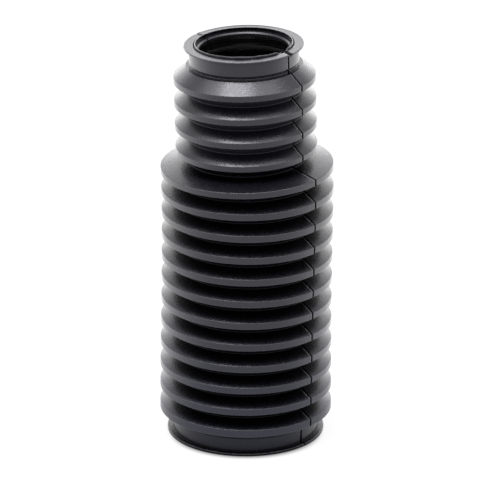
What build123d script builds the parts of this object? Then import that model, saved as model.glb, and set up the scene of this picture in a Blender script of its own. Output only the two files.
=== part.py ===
from build123d import *
import os

# Rubber bellows boot for a telescopic leg: V-shaped folds with flat rims, wide below and narrower
# above, between a flanged collar at each end. One thin-walled moulding, round about +Z.
# Origin: centre of the bottom face, on which the boot stands. All sizes are in millimetres.

# Lower stack of wide folds.
large_folds = 12
large_rim_radius = 38.0
large_root_radius = 31.6
large_pitch = 10.2
large_rim_height = 2.85
bottom_rim_height = 3.3        # the lowest rim is thicker
step_rim_height = 2.6          # the highest wide rim, just below the narrow stack

# Upper stack of narrow folds.
small_folds = 4
small_rim_radius = 31.15
small_root_radius = 25.9
small_pitch = 10.6
small_rim_height = 2.45
step_rise = 4.3                # from mid-rim of the highest wide fold to the root above it

# Both stacks.
fold_wall = 1.5

# Parting line of the mould: a fine groove down the outside, on both sides of the boot.
parting_azimuth = 51.0         # degrees from -Y towards +X
parting_width = 1.2            # degrees round the axis
parting_depth = 0.4

# Bottom collar, which clamps over the wide lower tube.
bottom_bore_radius = 30.0
bottom_collar_wall = 2.6
bottom_collar_height = 7.0
bottom_flange_width = 2.15
bottom_flange_thickness = 1.2

# Top collar, over the narrow upper tube.
top_bore_radius = 21.6
top_collar_wall = 2.55
top_collar_height = 9.5
top_flange_width = 2.15
top_flange_thickness = 0.7

# Flat shoulder between the highest slope and the foot of the top collar.
shoulder_radius = 25.6
shoulder_rise = 0.45           # above the even pitch of the narrow folds

# Groove round the top collar, just above the shoulder.
neck_groove_rise = 0.85        # from the shoulder to the groove
neck_groove_depth = 0.55
neck_groove_height = 1.0
neck_groove_floor = 0.4

# Raised lip round the mouth.
lip_height = 0.7
lip_thickness = 0.4

# Bead inside the top collar, which grips the upper tube.
bead_bore_radius = 19.65
bead_land = 1.2                # height of the part that touches the tube
bead_depth = 1.2               # from the flange's top down to the bead
bead_shoulder = 0.65           # chamfer between the bead's top and its land
bead_underside = 1.7           # height of the slope under the land

# What follows from the sizes above.
bottom_collar_radius = bottom_bore_radius + bottom_collar_wall
top_collar_radius = top_bore_radius + top_collar_wall
step_centre = bottom_collar_height + (large_folds - 0.5) * large_pitch
small_base = step_centre + step_rise
neck_base = small_base + small_folds * small_pitch
shoulder_height = neck_base + shoulder_rise
flange_top = neck_base + top_collar_height


def fold_outline(base, pitch, rim_radius, root_radius, rim_height):
    """Outer edge of one fold, upwards: the V-shaped root under it and both edges of its rim."""
    middle = base + pitch / 2
    return [
        (root_radius, base),
        (rim_radius, middle - rim_height / 2),
        (rim_radius, middle + rim_height / 2),
    ]


def large_stack_outline():
    """Outer edge of the wide folds, from the bottom collar to the highest wide rim."""
    rim_heights = [bottom_rim_height] + [large_rim_height] * (large_folds - 2) + [step_rim_height]
    points = []
    for index, rim_height in enumerate(rim_heights):
        base = bottom_collar_height + index * large_pitch
        points += fold_outline(base, large_pitch, large_rim_radius, large_root_radius, rim_height)
    slope = (large_pitch - large_rim_height) / 2 / (large_rim_radius - large_root_radius)
    collar_drop = slope * (large_rim_radius - bottom_collar_radius)
    points[0] = (bottom_collar_radius, points[1][1] - collar_drop)
    return points


def small_stack_outline():
    """Outer edge of the narrow folds, from the root on the step to the shoulder at their top."""
    points = []
    for index in range(small_folds):
        base = small_base + index * small_pitch
        points += fold_outline(
            base, small_pitch, small_rim_radius, small_root_radius, small_rim_height
        )
    points.append((shoulder_radius, shoulder_height))
    points.append((top_collar_radius, shoulder_height))
    return points


def ring_section(points):
    """Face bounded by (radius, height) points."""
    return make_face(Polyline(*points, close=True))


def outside_edge():
    """Outer edge of the folds, carried on past both ends of the boot."""
    beyond = 2 * fold_wall + top_collar_height
    return [
        (bottom_collar_radius, -beyond),
        *large_stack_outline(),
        *small_stack_outline(),
        (top_collar_radius, flange_top + beyond),
    ]


def nearer_the_axis(edge, depth):
    """The edge moved inwards by a depth, with each corner where its two sides now meet."""
    corners = [Vector(*point) for point in edge]
    sides = [(end - start).normalized() for start, end in zip(corners, corners[1:])]
    inward = [Vector(-side.Y, side.X) for side in sides]
    moved = [corners[0] + inward[0] * depth]
    for corner, below, above in zip(corners[1:], inward, inward[1:]):
        moved.append(corner + (below + above) * (depth / (1 + below.dot(above))))
    moved.append(corners[-1] + inward[-1] * depth)
    return [(corner.X, corner.Y) for corner in moved]


def half_rectangle(radius, low, high):
    """Rectangle from the axis out to a radius, between two heights."""
    return Pos(radius / 2, (low + high) / 2) * Rectangle(radius, high - low)


def fold_section():
    """Section of the folded wall. Its inner edge runs parallel to the outer one, fold_wall apart,
    and its noses are cut flat at the same wall."""
    outer = outside_edge()
    inner = nearer_the_axis(outer, fold_wall)
    wall = ring_section(outer + inner[::-1])
    lowest_rim = bottom_collar_height + large_pitch / 2
    highest_rim = neck_base - small_pitch / 2
    wall -= half_rectangle(large_root_radius - fold_wall, lowest_rim, step_centre)
    wall -= half_rectangle(small_root_radius - fold_wall, step_centre, highest_rim)
    return wall & half_rectangle(2 * large_rim_radius, 0, flange_top)


def bottom_collar_section():
    """Thick collar with an outward flange, on which the boot stands."""
    flange_radius = bottom_collar_radius + bottom_flange_width
    return ring_section([
        (bottom_bore_radius, 0),
        (flange_radius, 0),
        (flange_radius, bottom_flange_thickness),
        (bottom_collar_radius, bottom_flange_thickness),
        (bottom_collar_radius, bottom_collar_height),
        (bottom_bore_radius, bottom_collar_height),
    ])


def top_collar_section():
    """Collar with a thin flange, a raised lip round the mouth and the gripping bead inside."""
    flange_radius = top_collar_radius + top_flange_width
    bead_top = flange_top - bead_depth
    land_top = bead_top - bead_shoulder
    land_foot = land_top - bead_land
    return ring_section([
        (top_bore_radius, neck_base),
        (top_collar_radius, neck_base),
        (top_collar_radius, flange_top - top_flange_thickness),
        (flange_radius, flange_top - top_flange_thickness),
        (flange_radius, flange_top),
        (top_bore_radius + lip_thickness, flange_top),
        (top_bore_radius + lip_thickness, flange_top + lip_height),
        (top_bore_radius, flange_top + lip_height),
        (top_bore_radius, bead_top),
        (bead_bore_radius + bead_shoulder, bead_top),
        (bead_bore_radius, land_top),
        (bead_bore_radius, land_foot),
        (top_bore_radius, land_foot - bead_underside),
    ])


def neck_groove_section():
    """Groove with sloping sides, cut round the top collar near its foot."""
    middle = shoulder_height + neck_groove_rise + neck_groove_height / 2
    floor_radius = top_collar_radius - neck_groove_depth
    return ring_section([
        (top_collar_radius, middle - neck_groove_height / 2),
        (floor_radius, middle - neck_groove_floor / 2),
        (floor_radius, middle + neck_groove_floor / 2),
        (top_collar_radius, middle + neck_groove_height / 2),
    ])


def parting_line():
    """What the parting line takes away on one side: all that lies outside the sunk outer edge."""
    sunk = nearer_the_axis(outside_edge(), parting_depth)
    beyond_radius = large_rim_radius + parting_depth
    outside = ring_section([(beyond_radius, sunk[0][1]), *sunk, (beyond_radius, sunk[-1][1])])
    to_flange = flange_top - top_flange_thickness
    outside &= half_rectangle(beyond_radius, bottom_flange_thickness, to_flange)
    start = parting_azimuth - 90 - parting_width / 2
    return Rot(Z=start) * revolve(Plane.XZ * outside, Axis.Z, revolution_arc=parting_width)


def bellows_boot():
    section = fold_section() + bottom_collar_section() + top_collar_section()
    section -= neck_groove_section()
    boot = revolve(Plane.XZ * section, Axis.Z)
    return boot - parting_line() - Rot(Z=180) * parting_line()


os.makedirs("parts", exist_ok=True)
export_step(bellows_boot(), "parts/bellows_boot.step")
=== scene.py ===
import math

import bpy
import numpy as np
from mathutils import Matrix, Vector, noise


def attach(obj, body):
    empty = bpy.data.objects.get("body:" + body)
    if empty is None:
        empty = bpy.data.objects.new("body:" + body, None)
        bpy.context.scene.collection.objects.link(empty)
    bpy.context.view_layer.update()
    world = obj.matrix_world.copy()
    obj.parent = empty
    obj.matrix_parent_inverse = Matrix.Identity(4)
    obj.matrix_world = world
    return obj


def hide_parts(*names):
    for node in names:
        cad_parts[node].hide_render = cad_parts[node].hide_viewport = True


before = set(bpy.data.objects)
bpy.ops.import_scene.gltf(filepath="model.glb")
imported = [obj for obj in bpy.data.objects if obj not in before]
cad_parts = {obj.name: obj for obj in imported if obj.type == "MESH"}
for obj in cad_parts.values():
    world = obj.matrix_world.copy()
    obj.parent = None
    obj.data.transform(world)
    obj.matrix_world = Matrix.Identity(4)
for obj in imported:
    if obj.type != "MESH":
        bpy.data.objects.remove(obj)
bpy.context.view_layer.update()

# Rubber bellows boot, standing on a white table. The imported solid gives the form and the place;
# this script gives the moulding its rounded edges, its parting line, its trimmed mouth, the slight
# lean of a flexible part standing free, and its rubber. All lengths are in metres.
MM = 0.001

# ---------------------------------------------------------------- the moulding's own sizes

# Lower stack of wide folds.
large_folds = 12
large_rim_radius = 38.0 * MM
large_root_radius = 31.6 * MM
large_pitch = 10.2 * MM
large_rim_height = 2.85 * MM
bottom_rim_height = 3.3 * MM
step_rim_height = 2.6 * MM

# Upper stack of narrow folds.
small_folds = 4
small_rim_radius = 31.15 * MM
small_root_radius = 25.9 * MM
small_pitch = 10.6 * MM
small_rim_height = 2.45 * MM
step_rise = 4.3 * MM

# Both stacks.
fold_wall = 1.5 * MM

# Bottom collar.
bottom_bore_radius = 30.0 * MM
bottom_collar_radius = 32.6 * MM
bottom_collar_height = 7.0 * MM
bottom_flange_radius = 34.75 * MM
bottom_flange_thickness = 1.2 * MM

# Top collar, with its shoulder, groove, flange, lip and bead.
top_bore_radius = 21.6 * MM
top_collar_radius = 24.15 * MM
top_collar_height = 9.5 * MM
top_flange_radius = 26.3 * MM
top_flange_thickness = 0.7 * MM
shoulder_radius = 25.6 * MM
shoulder_rise = 0.45 * MM
neck_groove_rise = 0.85 * MM
neck_groove_depth = 0.55 * MM
neck_groove_height = 1.0 * MM
neck_groove_floor = 0.4 * MM
lip_height = 0.7 * MM
lip_thickness = 0.4 * MM
bead_bore_radius = 19.65 * MM
bead_land = 1.2 * MM
bead_depth = 1.2 * MM
bead_shoulder = 0.65 * MM
bead_underside = 1.7 * MM

# Heights that follow.
step_centre = bottom_collar_height + (large_folds - 0.5) * large_pitch
small_base = step_centre + step_rise
neck_base = small_base + small_folds * small_pitch
flange_top = neck_base + top_collar_height
shoulder_height = neck_base + shoulder_rise
groove_foot = shoulder_height + neck_groove_rise
groove_middle = groove_foot + neck_groove_height / 2
groove_radius = top_collar_radius - neck_groove_depth
bead_foot = flange_top - bead_depth - bead_shoulder - bead_land

# ---------------------------------------------------------------- what the moulding adds to them

# Rounding of the moulding's edges.
rim_round = 0.28 * MM
rim_foot_round = 0.26 * MM
root_round = 0.2 * MM
fine_round = 0.12 * MM
inner_round = 0.5 * MM
flange_round = 0.42 * MM
shoulder_round = 0.25 * MM
side_share = 0.45              # the most that one rounding may take up of a side
outer_segments = 3
inner_segments = 1

# How far the edges are greyed, from 0 to 1, partly by handling and partly as a painted highlight; -1
# marks painted shade, painted black in creases and the gate's notch.
rim_wear_and_highlight = 0.48
rim_foot_wear_and_highlight = 0.45
shoulder_wear_and_highlight = 0.3
flange_wear_and_highlight = 0.8
lip_wear_and_highlight = 1.0
bead_wear_and_highlight = 0.3
painted_crease_shade = -1.0

# Parting line: a narrow groove down the outside, on both sides of the boot.
parting_azimuth = math.radians(52.9)       # at the top, from the front, anticlockwise from above
parting_half_width = 0.50 * MM
parting_floor_half_width = 0.36 * MM
parting_depth = 0.8 * MM
parting_share_on_flanges = 0.35            # of that depth, on both flanges

# The boot stands free, so it leans a little: to the right up to the wide folds' top and then left,
# and a little forwards. Its own weight closes the folds by a hair and draws its middle in.
lean_heights = [
    0.0, 20 * MM, 40 * MM, 70 * MM, 95 * MM, 110 * MM, 124 * MM, 145 * MM, 166 * MM, 182 * MM
]
lean_right = [0.003, 0.002, 0.008, 0.012, 0.009, -0.001, -0.026, -0.024, -0.027, -0.030]
lean_back = [0.0, 0.0, -0.003, -0.002, -0.004, -0.005, -0.011, -0.008, 0.001, 0.007]
lean_steps = 400
sag_heights = [0.0, 25 * MM, 70 * MM, 90 * MM, 160 * MM, 182 * MM]
sag = [0.0, 0.0, 0.22 * MM, 0.22 * MM, 0.16 * MM, 0.04 * MM]
waist_heights = [0.0, 12 * MM, 40 * MM, 62 * MM, 92 * MM, 122 * MM]
waist = [0.12 * MM, 0.12 * MM, 0.0, -0.22 * MM, -0.22 * MM, 0.0]
twist = math.radians(4.4)                  # of the bottom against the top

# Lip round the mouth, trimmed by hand: uneven in front, and cut away between two azimuths.
lip_round = 0.19 * MM
lip_foot_width = 0.24 * MM                 # of the crease at its foot
lip_foot_depth = 0.15 * MM
crease_floor_share = 0.3                   # of that width and of the lean, to each side of its foot
lip_inwards = 0.55 * MM                    # how far the lip's top leans towards the axis
lip_front = math.radians(75)               # the uneven stretch, to each side of the front
lip_unevenness = 0.35                      # share of the lip's height
lip_gap_from = math.radians(42)
lip_gap_to = math.radians(63)
lip_gap_spread = 0.62                      # half width of the cut, as a share of that stretch
lip_gap_steepness = 2.4
lip_stub = 0.03                            # share of the lip that the cut left
burr_height = 0.3 * MM
burr_azimuth = math.radians(76)
burr_half_width = math.radians(2.4)

# V-shaped notch that the mould's gate left across the flange, at the bore and at the flange's edge.
gate_azimuth = math.radians(54.5)
gate_outer_azimuth = math.radians(50.5)
gate_half_width = 1.9 * MM
gate_outer_half_width = 0.8 * MM
gate_depth = 1.1 * MM
gate_outer_depth = 0.4 * MM
gate_floor_share = 0.6                     # of its half width
gate_side_slope = 2.2

# Edge of the top flange: a little ragged, raised at the back, with a nub at each parting line.
edge_ragged = 0.05 * MM
back_rise = 0.25 * MM
back_half_width = math.radians(100)
near_nub = 0.9 * MM
near_nub_azimuth = math.radians(49.5)
near_nub_half_width = math.radians(2.4)
far_nub = 0.8 * MM
far_nub_azimuth = math.radians(227.5)
far_nub_half_width = math.radians(3.2)
seam_height = 0.14 * MM                    # of the far parting line, where it crosses the flange
seam_azimuth = math.radians(235)
seam_half_width = math.radians(1.4)

# Mesh.
fold_columns = 160
mouth_columns = 480
flange_rings = 7                           # between the top flange's edge and the lip
line_offsets = [0.0, 0.18 * MM, 0.36 * MM, 0.50 * MM, 0.85 * MM, 1.4 * MM]   # beside the line
line_margin = 2.2                          # times the last offset, up to the even columns
a_hair = 0.05 * MM                         # less than this apart is in the same place
tiny = 1e-9


def fold_stacks():
    """Outer edge of all the folds, upwards: rims and V-shaped roots. Each corner is its radius,
    height, rounding, and how far its edge is rubbed grey and painted with a highlight."""
    points = []
    rim_heights = {0: bottom_rim_height, large_folds - 1: step_rim_height}
    for index in range(large_folds):
        centre = bottom_collar_height + (index + 0.5) * large_pitch
        half_rim = rim_heights.get(index, large_rim_height) / 2
        points += [
            (large_root_radius, centre - large_pitch / 2, root_round, 0.0),
            (large_rim_radius, centre - half_rim, rim_foot_round, rim_foot_wear_and_highlight),
            (large_rim_radius, centre + half_rim, rim_round, rim_wear_and_highlight),
        ]
    for index in range(small_folds):
        centre = small_base + (index + 0.5) * small_pitch
        points += [
            (small_root_radius, centre - small_pitch / 2, root_round, 0.0),
            (small_rim_radius, centre - small_rim_height / 2, rim_foot_round, rim_foot_wear_and_highlight),
            (small_rim_radius, centre + small_rim_height / 2, rim_round, rim_wear_and_highlight),
        ]
    points.append((shoulder_radius, shoulder_height, shoulder_round, shoulder_wear_and_highlight))
    points.append((top_collar_radius, shoulder_height, fine_round, 0.0))
    slope = (large_pitch - large_rim_height) / 2 / (large_rim_radius - large_root_radius)
    collar_drop = slope * (large_rim_radius - bottom_collar_radius)
    points[0] = (bottom_collar_radius, points[1][1] - collar_drop, root_round, 0.0)
    return points


def sunk(points, depths):
    """The line with each side moved to its left by its own depth; the two ends keep their place."""
    corners = np.array([point[:2] for point in points])
    along = np.diff(corners, axis=0)
    along /= np.linalg.norm(along, axis=1)[:, None]
    inward = np.column_stack([-along[:, 1], along[:, 0]])
    moved = [corners[0] + inward[0] * depths[0]]
    for index in range(1, len(corners) - 1):
        sides = inward[index - 1:index + 1]
        shift = np.linalg.lstsq(sides, np.array(depths[index - 1:index + 1]), rcond=1e-6)[0]
        moved.append(corners[index] + shift)
    moved.append(corners[-1] + inward[-1] * depths[-1])
    return moved


def rounded(points, roundings, segments):
    """The closed line with every corner turned into an arc of a few segments."""
    points = np.array(points)
    count = len(points)
    line = []
    for index in range(count):
        corner = points[index]
        if roundings[index] == 0:
            line.append(corner)
            continue
        back = points[index - 1] - corner
        ahead = points[(index + 1) % count] - corner
        back_length, ahead_length = np.linalg.norm(back), np.linalg.norm(ahead)
        back, ahead = back / back_length, ahead / ahead_length
        half = math.acos(np.clip(back @ ahead, -1, 1)) / 2
        reach = roundings[index] / math.tan(half)
        reach = min(reach, side_share * back_length, side_share * ahead_length)
        radius = reach * math.tan(half)
        middle = corner + (back + ahead) / np.linalg.norm(back + ahead) * radius / math.sin(half)
        start, end = corner + back * reach - middle, corner + ahead * reach - middle
        turn = math.pi - 2 * half
        for step in range(segments[index] + 1):
            share = step / segments[index]
            line.append(
                middle
                + (math.sin((1 - share) * turn) * start + math.sin(share * turn) * end)
                / math.sin(turn)
            )
    return np.array(line)


def inner_folds():
    """Inner edge of the folds, upwards: fold_wall inside the outer one, with flat noses."""
    stacks = [(bottom_collar_radius, 0.0), *fold_stacks(), (top_collar_radius, flange_top)]
    parallel = sunk(stacks, [fold_wall] * (len(stacks) - 1))
    line = []
    for index in range(1, len(parallel) - 1):
        radius, height = parallel[index]
        nose = stacks[index][0] - fold_wall
        if radius >= nose - tiny:
            line.append((radius, height))
            continue
        for side in (-1, 1):
            beyond_radius, beyond_height = parallel[index + side]
            share = (nose - radius) / (beyond_radius - radius)
            line.append((nose, height + share * (beyond_height - height)))
    return line


def fold_body_line():
    """Closed section of everything below the neck groove's middle: outside upwards, inside down."""
    outside = [
        (bottom_flange_radius, 0.0, fine_round, 0.0),
        (bottom_flange_radius, bottom_flange_thickness, flange_round, flange_wear_and_highlight),
        (bottom_collar_radius, bottom_flange_thickness, fine_round, 0.0),
        *fold_stacks(),
        (top_collar_radius, groove_foot, fine_round, rim_foot_wear_and_highlight),
        (groove_radius, groove_middle - neck_groove_floor / 2, fine_round, 0.0),
        (groove_radius, groove_middle, 0.0, 0.0),
    ]
    folds = inner_folds()
    inside = [
        (top_bore_radius, groove_middle, 0.0, 0.0),
        (top_bore_radius, neck_base, fine_round, 0.0),
        (folds[-1][0], neck_base, fine_round, 0.0),
        *[(radius, height, inner_round, 0.0) for radius, height in reversed(folds)],
        (folds[0][0], bottom_collar_height, fine_round, 0.0),
        (bottom_bore_radius, bottom_collar_height, fine_round, 0.0),
        (bottom_bore_radius, 0.0, fine_round, 0.0),
    ]
    return outside, inside


def mouth_line():
    """Closed section of the top collar above the neck groove's middle, with its flange and bead."""
    bead_top = flange_top - bead_depth
    land_top = bead_top - bead_shoulder
    land_foot = land_top - bead_land
    lip_outer = top_bore_radius + lip_thickness
    flange_steps = np.linspace(top_flange_radius - rim_round, lip_outer, flange_rings + 2)[1:-1]
    outside = [
        (groove_radius, groove_middle, 0.0, 0.0),
        (groove_radius, groove_middle + neck_groove_floor / 2, fine_round, 0.0),
        (top_collar_radius, groove_foot + neck_groove_height, fine_round, 0.0),
        (top_collar_radius, flange_top - top_flange_thickness, fine_round, 0.0),
        (top_flange_radius, flange_top - top_flange_thickness, fine_round, 0.0),
        (top_flange_radius, flange_top, flange_round, flange_wear_and_highlight),
        *[(radius, flange_top, 0.0, 0.0) for radius in flange_steps],
        (lip_outer + lip_foot_width, flange_top, 0.0, 0.0),
        # The groove at the lip's foot is painted black: painted shade.
        (lip_outer + crease_floor_share * lip_foot_width, flange_top - lip_foot_depth, 0.0, painted_crease_shade),
        (lip_outer - crease_floor_share * lip_inwards, flange_top - lip_foot_depth, 0.0, painted_crease_shade),
    ]
    inside = [
        (lip_outer - lip_inwards, flange_top + lip_height, lip_round, lip_wear_and_highlight),
        (top_bore_radius - lip_inwards, flange_top + lip_height, lip_round, lip_wear_and_highlight),
        (top_bore_radius, bead_top, fine_round, 0.0),
        (bead_bore_radius + bead_shoulder, bead_top, fine_round, 0.0),
        (bead_bore_radius, land_top, fine_round, bead_wear_and_highlight),
        (bead_bore_radius, land_foot, fine_round, 0.0),
        (top_bore_radius, land_foot - bead_underside, fine_round, 0.0),
        (top_bore_radius, groove_middle, 0.0, 0.0),
    ]
    return outside, inside


def section(outside, inside, depth):
    """Closed section of the wall, with the outside sunk by the depth of the parting line, and how
    rubbed grey, with painted highlight or painted black shade, and how dull each of its points is."""
    side_depths = []
    for _, height, *_ in outside[1:]:
        on_top_flange = height >= flange_top - top_flange_thickness - tiny
        on_bottom_flange = height <= bottom_flange_thickness + tiny
        on_flange = on_top_flange or on_bottom_flange
        side_depths.append(depth * parting_share_on_flanges if on_flange else depth)
    sunk_outside = sunk(outside, side_depths)
    sunk_outside[0] = (sunk_outside[0][0], outside[0][1])
    corners = [*sunk_outside, *[point[:2] for point in inside]]
    roundings = [point[2] for point in [*outside, *inside]]
    segments = [outer_segments] * len(outside)
    segments += [outer_segments if point[3] else inner_segments for point in inside]
    wear_and_painted_light, dull = [], []
    for index, (point, count) in enumerate(zip([*outside, *inside], segments)):
        arc = [0.0, *[point[3]] * (count - 1), 0.0] if point[2] else [min(point[3], 0.0)]
        wear_and_painted_light += arc
        deep_inside = index >= len(outside) and point[1] < bead_foot + fine_round
        dull += [float(deep_inside)] * len(arc)
    return rounded(corners, roundings, segments), np.array(wear_and_painted_light), np.array(dull)


def columns(even_columns):
    """Azimuth of each column of the mesh, and its offset sideways from there beside the parting
    line, or None."""
    result = []
    offsets = [-offset for offset in reversed(line_offsets[1:])] + line_offsets
    half_count = even_columns // 2
    clear = line_margin * line_offsets[-1] / large_root_radius
    for side in range(2):
        line = parting_azimuth + side * math.pi
        result += [(line, offset) for offset in offsets]
        for step in range(half_count):
            result.append((line + clear + (math.pi - 2 * clear) * step / (half_count - 1), None))
    return result


def parting_share(offset):
    """How far a column lies in the parting line: 1 on its floor, 0 outside it."""
    if offset is None:
        return 0.0
    share = (parting_half_width - abs(offset)) / (parting_half_width - parting_floor_half_width)
    return min(max(share, 0.0), 1.0)


def bump(azimuth, centre, half_width):
    """Smooth bump of height 1 round an azimuth; all in radians."""
    apart = (azimuth - centre + math.pi) % (2 * math.pi) - math.pi
    share = np.clip(1 - np.abs(apart) / half_width, 0, 1)
    return share * share * (3 - 2 * share)


def wander(azimuth, pace, seed):
    """Smooth irregular curve round the mouth, between about -1 and 1."""
    return noise.noise(Vector((pace * math.cos(azimuth), pace * math.sin(azimuth), seed)))


def lip_top(azimuth):
    """Height of the lip's top above the flange: trimmed unevenly in front, and cut away at the gate."""
    front = bump(azimuth, 0.0, lip_front)
    ups_and_downs = 1 - wander(azimuth, pace=9.0, seed=1.7)
    uneven = lip_height * (1 + front * lip_unevenness * ups_and_downs)
    middle = (lip_gap_from + lip_gap_to) / 2
    gap = lip_gap_steepness * bump(azimuth, middle, lip_gap_spread * (lip_gap_to - lip_gap_from))
    burr = burr_height * bump(azimuth, burr_azimuth, burr_half_width)
    return uneven * max(1 - gap, lip_stub) + burr


def lip_rubbing_and_highlight_gaps(azimuth):
    """How far the lip misses its rubbed grey and painted highlight, in dashes along its front."""
    dashes = np.clip(0.5 - 2.5 * wander(azimuth, pace=8.0, seed=5.3), 0, 1)
    return bump(azimuth, 0.0, lip_front) * dashes


def gate_floor(radius, azimuth):
    """Height of the V-shaped notch that the gate left across the flange; far above it elsewhere."""
    share = np.clip((radius - top_bore_radius) / (top_flange_radius - top_bore_radius), 0, 1)
    middle = gate_azimuth + share * (gate_outer_azimuth - gate_azimuth)
    half_width = gate_half_width + share * (gate_outer_half_width - gate_half_width)
    depth = gate_depth + share * (gate_outer_depth - gate_depth)
    aside = np.abs((azimuth - middle + math.pi) % (2 * math.pi) - math.pi) * radius
    return flange_top - depth + np.maximum(aside - gate_floor_share * half_width, 0) * gate_side_slope


def trimmed_mouth(radius, height, wear_and_painted_light, azimuth):
    """The mouth's moulded section with its uneven edges, its notch and the nubs at the flange."""
    mean = float(azimuth[0])
    on_lip = (radius < top_bore_radius + lip_thickness + a_hair) & (height > flange_top)
    height = np.where(on_lip, height - lip_height + lip_top(mean), height)
    # The lip's rubbed grey and painted highlight, left out in dashes along its front.
    wear_and_painted_light = np.where(on_lip, wear_and_painted_light * (1 - lip_rubbing_and_highlight_gaps(mean)), wear_and_painted_light)

    notch = gate_floor(radius, azimuth)
    # The gate's notch is painted black: painted shade.
    wear_and_painted_light = np.where(notch < np.minimum(height, flange_top) - a_hair, painted_crease_shade, wear_and_painted_light)
    height = np.minimum(height, notch)

    at_edge = np.clip((radius - top_collar_radius) / (top_flange_radius - top_collar_radius), 0, 1) ** 3
    ragged = edge_ragged * (wander(mean, pace=60.0, seed=4.2) + wander(mean, pace=22.0, seed=8.1))
    nubs = near_nub * bump(mean, near_nub_azimuth, near_nub_half_width)
    nubs += far_nub * bump(mean, far_nub_azimuth, far_nub_half_width)
    radius = radius + at_edge * (ragged + nubs)
    height = height + at_edge * back_rise * bump(mean, math.pi, back_half_width)

    on_top = (height > flange_top - a_hair) & (radius < top_collar_radius)
    seam = seam_height * bump(mean, seam_azimuth, seam_half_width)
    return radius, height + np.where(on_top, seam, 0.0), wear_and_painted_light


def lean(height, knot_slopes):
    """Shift of the boot's axis at a height, and its slope there, from the slopes at the knots."""
    steps = np.linspace(0.0, lean_heights[-1], lean_steps)
    slopes = np.interp(steps, lean_heights, knot_slopes)
    shifts = np.concatenate([[0.0], np.cumsum((slopes[1:] + slopes[:-1]) / 2 * np.diff(steps))])
    return np.interp(height, steps, shifts), np.interp(height, steps, slopes)


def leaning(points):
    """The upright boot's points, moved as the standing boot leans and sags."""
    height = points[:, 2]
    girth = 1 + np.interp(height, waist_heights, waist) / large_rim_radius
    x, y = points[:, 0] * girth, points[:, 1] * girth
    shift_x, slope_x = lean(height, lean_right)
    shift_y, slope_y = lean(height, lean_back)
    tilt = slope_x * x + slope_y * y
    rise = np.clip(height / bottom_collar_height, 0, 1)
    drop = np.interp(height, sag_heights, sag)
    return np.column_stack([x + shift_x, y + shift_y, height - drop - tilt * rise])


def area_normals(points, faces):
    """Normal of each vertex, led by the largest faces round it, so that flats stay flat."""
    across = points[faces[:, 2]] - points[faces[:, 0]]
    along = points[faces[:, 3]] - points[faces[:, 1]]
    face_normals = np.cross(across, along)
    normals = np.zeros_like(points)
    for corner in range(4):
        np.add.at(normals, faces[:, corner], face_normals)
    return normals / np.linalg.norm(normals, axis=1)[:, None]


def skin(name, outside, inside, even_columns, reshape):
    """Closed mesh of one section turned round the axis, with the parting line sunk into it. The
    optional reshape moves the points of each column before the boot leans."""
    rows, share_list, wear_and_painted_light_list, dull_list = [], [], [], []
    for azimuth, offset in columns(even_columns):
        share = parting_share(offset)
        line, wear_and_painted_light, dull = section(outside, inside, parting_depth * share)
        radius, height = line[:, 0], line[:, 1]
        turn = azimuth - twist * (1 - height / flange_top)
        if offset is not None:
            turn = turn + np.arcsin(offset / radius)
        if reshape:
            radius, height, wear_and_painted_light = reshape(radius, height, wear_and_painted_light, turn)
        rows.append(np.column_stack([radius * np.sin(turn), -radius * np.cos(turn), height]))
        share_list.append(np.full(len(line), share))
        wear_and_painted_light_list.append(wear_and_painted_light)
        dull_list.append(dull)
    points = leaning(np.concatenate(rows))
    column_count, point_count = len(rows), len(rows[0])
    faces = []
    for column in range(column_count):
        after = (column + 1) % column_count
        for index in range(point_count):
            up = (index + 1) % point_count
            faces.append((
                column * point_count + index,
                after * point_count + index,
                after * point_count + up,
                column * point_count + up,
            ))
    mesh = bpy.data.meshes.new(name)
    mesh.from_pydata(points.tolist(), [], faces)
    mesh.shade_smooth()
    mesh.normals_split_custom_set_from_vertices(area_normals(points, np.array(faces)))
    for attribute_name, values in (
        ("in_parting_line", share_list), ("edge_wear_and_painted_light", wear_and_painted_light_list), ("dull_inside", dull_list)
    ):
        attribute = mesh.attributes.new(attribute_name, "FLOAT", "POINT")
        attribute.data.foreach_set("value", np.concatenate(values).astype(np.float32))
    return mesh


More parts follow.
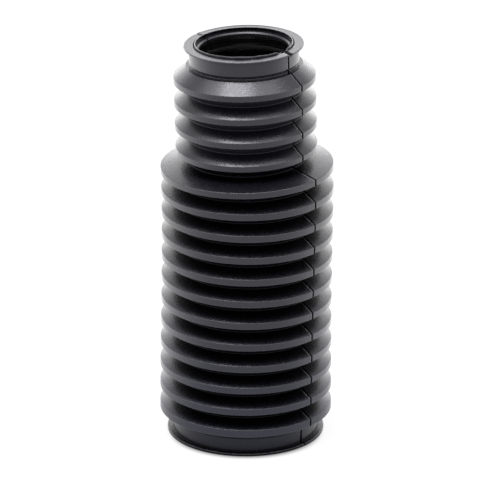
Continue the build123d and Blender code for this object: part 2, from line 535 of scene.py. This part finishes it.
class Nodes:
    """Short ways to add the shader nodes used here to one material or to the world."""

    def __init__(self, owner):
        owner.use_nodes = True
        self.nodes = owner.node_tree.nodes
        self.links = owner.node_tree.links

    def feed(self, socket, value):
        """Link another node's output to a socket, or set it to a number or a colour."""
        if isinstance(value, bpy.types.NodeSocket):
            self.links.new(value, socket)
        else:
            socket.default_value = value

    def place(self):
        return self.nodes.new("ShaderNodeTexCoord").outputs["Object"]

    def rays(self):
        """Which kind of ray meets the surface."""
        return self.nodes.new("ShaderNodeLightPath").outputs

    def attribute(self, name):
        node = self.nodes.new("ShaderNodeAttribute")
        node.attribute_name = name
        return node.outputs["Fac"]

    def parts(self, vector):
        """X, Y and Z of a vector."""
        node = self.nodes.new("ShaderNodeSeparateXYZ")
        self.links.new(vector, node.inputs[0])
        return node.outputs

    def vector_math(self, operation, vector, result):
        node = self.nodes.new("ShaderNodeVectorMath")
        node.operation = operation
        self.links.new(vector, node.inputs[0])
        return node.outputs[result]

    def computed(self, operation, *values):
        node = self.nodes.new("ShaderNodeMath")
        node.operation = operation
        for socket, value in zip(node.inputs, values):
            self.feed(socket, value)
        return node.outputs[0]

    def ranged(self, value, source, target, interpolation="LINEAR"):
        """The value mapped from the source range to the target range, and held at its ends."""
        node = self.nodes.new("ShaderNodeMapRange")
        node.interpolation_type = interpolation
        node.inputs["From Min"].default_value, node.inputs["From Max"].default_value = source
        node.inputs["To Min"].default_value, node.inputs["To Max"].default_value = target
        self.links.new(value, node.inputs["Value"])
        return node.outputs["Result"]

    def mixed(self, share, first, second):
        """From the first colour, at share 0, to the second one, at share 1."""
        node = self.nodes.new("ShaderNodeMix")
        node.data_type = "RGBA"
        self.links.new(share, node.inputs[0])
        colours = [socket for socket in node.inputs if socket.type == "RGBA"]
        for socket, value in zip(colours, (first, second)):
            self.feed(socket, value)
        return next(socket for socket in node.outputs if socket.type == "RGBA")

    def noise(self, place, scale, detail, roughness):
        node = self.nodes.new("ShaderNodeTexNoise")
        node.inputs["Scale"].default_value = scale
        node.inputs["Detail"].default_value = detail
        node.inputs["Roughness"].default_value = roughness
        self.links.new(place, node.inputs["Vector"])
        return node.outputs["Fac"]

    def openness(self, distance, samples):
        """How open a surface is within a distance: 1 in the open and less in a corner."""
        node = self.nodes.new("ShaderNodeAmbientOcclusion")
        node.samples = samples
        node.inputs["Distance"].default_value = distance
        return node.outputs["AO"]

    def bumpy(self, height, distance):
        """The surface's normal, with a height laid over it."""
        node = self.nodes.new("ShaderNodeBump")
        node.inputs["Strength"].default_value = 1.0
        node.inputs["Distance"].default_value = distance
        self.links.new(height, node.inputs["Height"])
        return node.outputs["Normal"]


def rubber():
    """Black moulded rubber: satin and finely grained, greyer on rubbed edges with a painted highlight,
    dull inside; painted shade makes it dull black in the parting line and creases, blackest deep in the
    folds."""
    material = bpy.data.materials.new("black_rubber")
    tree = Nodes(material)
    shader = tree.nodes["Principled BSDF"]
    shader.inputs["IOR"].default_value = 1.6

    # Where each look applies, from 0 to 1.
    place = tree.place()
    height = tree.parts(place)["Z"]
    # Painted shade: deep in the folds, where the boot closes round, the rubber is painted blacker and
    # reflects less; less so in the narrow folds.
    lowest_narrow_rim = small_base + small_pitch / 2
    fold_shade_strength = tree.ranged(height, (step_centre, lowest_narrow_rim), (1.0, 0.55))
    painted_fold_shade = tree.ranged(tree.openness(distance=11 * MM, samples=8), (0.42, 0.9), (1.0, 0.0))
    painted_fold_shade = tree.computed("MULTIPLY", painted_fold_shade, fold_shade_strength)
    # Painted shade: the reflections are dimmer and bluer towards the bottom.
    painted_shade_low_down = tree.ranged(height, (0.0, 90 * MM), (1.0, 0.0))
    # Painted shade: the parting line, the creases and the gate's notch are painted black and reflect
    # little.
    parting_line_shade = tree.ranged(tree.attribute("in_parting_line"), (0.05, 0.5), (0.0, 1.0))
    crease_shade_mask = tree.ranged(tree.attribute("edge_wear_and_painted_light"), (0.0, painted_crease_shade), (0.0, 1.0))
    painted_groove_shade = tree.computed("MAXIMUM", parting_line_shade, crease_shade_mask)
    inside = tree.attribute("dull_inside")
    patches = tree.noise(place, scale=260.0, detail=4.0, roughness=0.6)
    # Rubbed edges are greyer: partly real rubbing, partly a painted highlight along the edges, in
    # patches.
    worn_and_highlighted = tree.ranged(tree.attribute("edge_wear_and_painted_light"), (0.0, 1.0), (0.0, 1.0))
    worn_and_highlighted = tree.computed("MULTIPLY", worn_and_highlighted, tree.ranged(patches, (0.35, 0.6), (0.35, 1.0)))
    clouds = tree.noise(place, scale=45.0, detail=4.0, roughness=0.6)
    cloudy = tree.ranged(clouds, (0.35, 0.65), (0.0, 1.0))

    # Base colour: cloudy black, painted shade deep in the folds, greyer inside, rubbed edges with a
    # painted highlight, and painted black shade in grooves.
    colour = tree.mixed(cloudy, (0.0058, 0.0057, 0.0105, 1), (0.0078, 0.0075, 0.0135, 1))
    colour = tree.mixed(painted_fold_shade, colour, (0.0015, 0.0015, 0.002, 1))
    colour = tree.mixed(inside, colour, (0.09, 0.09, 0.095, 1))
    colour = tree.mixed(worn_and_highlighted, colour, (0.20, 0.20, 0.21, 1))
    colour = tree.mixed(painted_groove_shade, colour, (0.002, 0.002, 0.002, 1))
    tree.feed(shader.inputs["Base Color"], colour)

    # Reflection tint, with painted shade towards the bottom, deep in the folds and in grooves, and dull
    # inside.
    sheen = tree.mixed(painted_shade_low_down, (0.95, 0.93, 1.0, 1), (0.76, 0.78, 1.0, 1))
    sheen = tree.mixed(painted_fold_shade, sheen, (0.12, 0.12, 0.14, 1))
    sheen = tree.mixed(inside, sheen, (0.06, 0.06, 0.06, 1))
    sheen = tree.mixed(painted_groove_shade, sheen, (0.02, 0.02, 0.02, 1))
    tree.feed(shader.inputs["Specular Tint"], sheen)

    groove_roughness = 0.6                 # on top of the satin's own
    smears = tree.noise(place, scale=300.0, detail=5.0, roughness=0.65)
    satin = tree.ranged(smears, (0.3, 0.7), (0.23, 0.31))
    roughness = tree.computed("MULTIPLY_ADD", painted_groove_shade, groove_roughness, satin)
    tree.feed(shader.inputs["Roughness"], roughness)

    grain = tree.noise(place, scale=1900.0, detail=0.5, roughness=0.5)
    tree.feed(shader.inputs["Normal"], tree.bumpy(grain, distance=0.045 * MM))
    return material


def link(name, data):
    thing = bpy.data.objects.new(name, data)
    bpy.context.scene.collection.objects.link(thing)
    return thing


def light_table():
    """Matt white that glows; a painted shadow fades it where the boot stands close over it. What the
    boot mirrors of it is a painted reflection, brighter away from the boot, towards the sides and the
    back."""
    material = bpy.data.materials.new("white_floor")
    tree = Nodes(material)
    shader = tree.nodes["Principled BSDF"]
    shader.inputs["Base Color"].default_value = (0.15, 0.15, 0.15, 1)
    shader.inputs["Roughness"].default_value = 1.0
    shader.inputs["Specular IOR Level"].default_value = 0.0
    shader.inputs["Emission Color"].default_value = (1, 1, 1, 1)

    place = tree.place()
    direction = tree.parts(tree.vector_math("NORMALIZE", place, "Vector"))
    away = tree.vector_math("LENGTH", place, "Value")

    # The shadow is narrower to the boot's left and right, as in the photograph.
    shadow_narrowing = 0.25
    sideways = tree.computed("POWER", direction["X"], 8.0)
    openness = tree.openness(distance=10 * MM, samples=24)
    openness = tree.computed("MULTIPLY_ADD", sideways, shadow_narrowing, openness)
    # Painted shadow: the floor glows less where the boot closes it in.
    glow_with_painted_shadow = tree.ranged(openness, (0.42, 0.8), (0.12, 0.92), "SMOOTHSTEP")

    # Painted reflection: only mirrors see the floor brighter away from the boot, to the sides and the
    # back.
    backwards = tree.ranged(direction["Y"], (-0.95, 0.6), (0.0, 1.05), "SMOOTHSTEP")
    growth = tree.ranged(away, (45 * MM, 150 * MM), (0.0, 1.0), "SMOOTHSTEP")
    growth = tree.computed("MULTIPLY", backwards, growth)
    mirrored = tree.computed("MULTIPLY", growth, tree.rays()["Is Glossy Ray"])
    tree.feed(shader.inputs["Emission Strength"], tree.computed("ADD", glow_with_painted_shadow, mirrored))
    return material


def white_floor():
    """Wide flat table top, on which the boot stands."""
    reach = 30.0
    corners = [(-reach, -reach, 0), (reach, -reach, 0), (reach, reach, 0), (-reach, reach, 0)]
    mesh = bpy.data.meshes.new("floor")
    mesh.from_pydata(corners, [], [(0, 1, 2, 3)])
    mesh.materials.append(light_table())
    link("floor", mesh)


def white_world():
    """White where it is seen, mirrored or seen through; it adds no light of its own."""
    world = bpy.data.worlds.new("studio")
    bpy.context.scene.world = world
    tree = Nodes(world)
    rays = tree.rays()
    seen = tree.computed("MAXIMUM", rays["Is Camera Ray"], rays["Is Glossy Ray"])
    seen = tree.computed("MAXIMUM", seen, rays["Is Transmission Ray"])
    background = tree.nodes["Background"]
    background.inputs["Color"].default_value = (1, 1, 1, 1)
    tree.feed(background.inputs["Strength"], seen)


def softbox(name, place, turn, size, radiance):
    """Rectangular lamp of one even brightness; it shines down unless it is turned."""
    width, height = size
    data = bpy.data.lights.new(name, "AREA")
    data.shape = "RECTANGLE"
    data.size, data.size_y = width, height
    data.energy = radiance * math.pi * width * height
    lamp = link(name, data)
    lamp.location = place
    lamp.rotation_euler = turn
    lamp.visible_camera = False


def softboxes():
    """Key lamp and an even light overhead, and lamps behind, which the slopes mirror."""
    downwards = (0, 0, 0)
    forwards = (math.radians(90), 0, math.radians(180))
    softbox("key", (-0.45, -0.15, 3.0), downwards, size=(1.3, 0.6), radiance=14.0)
    softbox("overhead", (-0.3, -0.1, 3.05), downwards, size=(3.8, 2.8), radiance=2.0)
    for name, side in (("back_left", -1), ("back_right", 1)):
        turned = (0, 0, -side * math.radians(45))
        softbox(name, (side * 0.95, 0.95, 3.0), turned, size=(1.05, 0.76), radiance=3.0)
    softbox("back_low", (0.0, 3.0, 0.41), forwards, size=(6.0, 0.78), radiance=2.13)
    softbox("back_high", (0.0, 3.0, 1.45), forwards, size=(6.0, 1.3), radiance=1.13)


def photo_camera():
    """Camera of the photograph, which looks down at the boot's axis."""
    pitch = math.radians(20.83)
    distance = 2.1435
    aim_height = 88.93 * MM
    aside = -2.49 * MM
    data = bpy.data.cameras.new("camera")
    data.sensor_width = 36.0
    data.lens = 364.07
    data.clip_end = 50.0
    camera = link("camera", data)
    camera.location = (aside, -distance * math.cos(pitch), aim_height + distance * math.sin(pitch))
    camera.rotation_euler = (math.pi / 2 - pitch, 0, 0)
    bpy.context.scene.camera = camera


rubber_material = rubber()
for name, line, even_columns, reshape in (
    ("boot_folds", fold_body_line(), fold_columns, None),
    ("boot_mouth", mouth_line(), mouth_columns, trimmed_mouth),
):
    part = link(name, skin(name, *line, even_columns, reshape))
    part.data.materials.append(rubber_material)
    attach(part, "root")
    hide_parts("bellows_boot")

white_floor()
white_world()
softboxes()
photo_camera()
bpy.context.scene.view_settings.view_transform = "Standard"
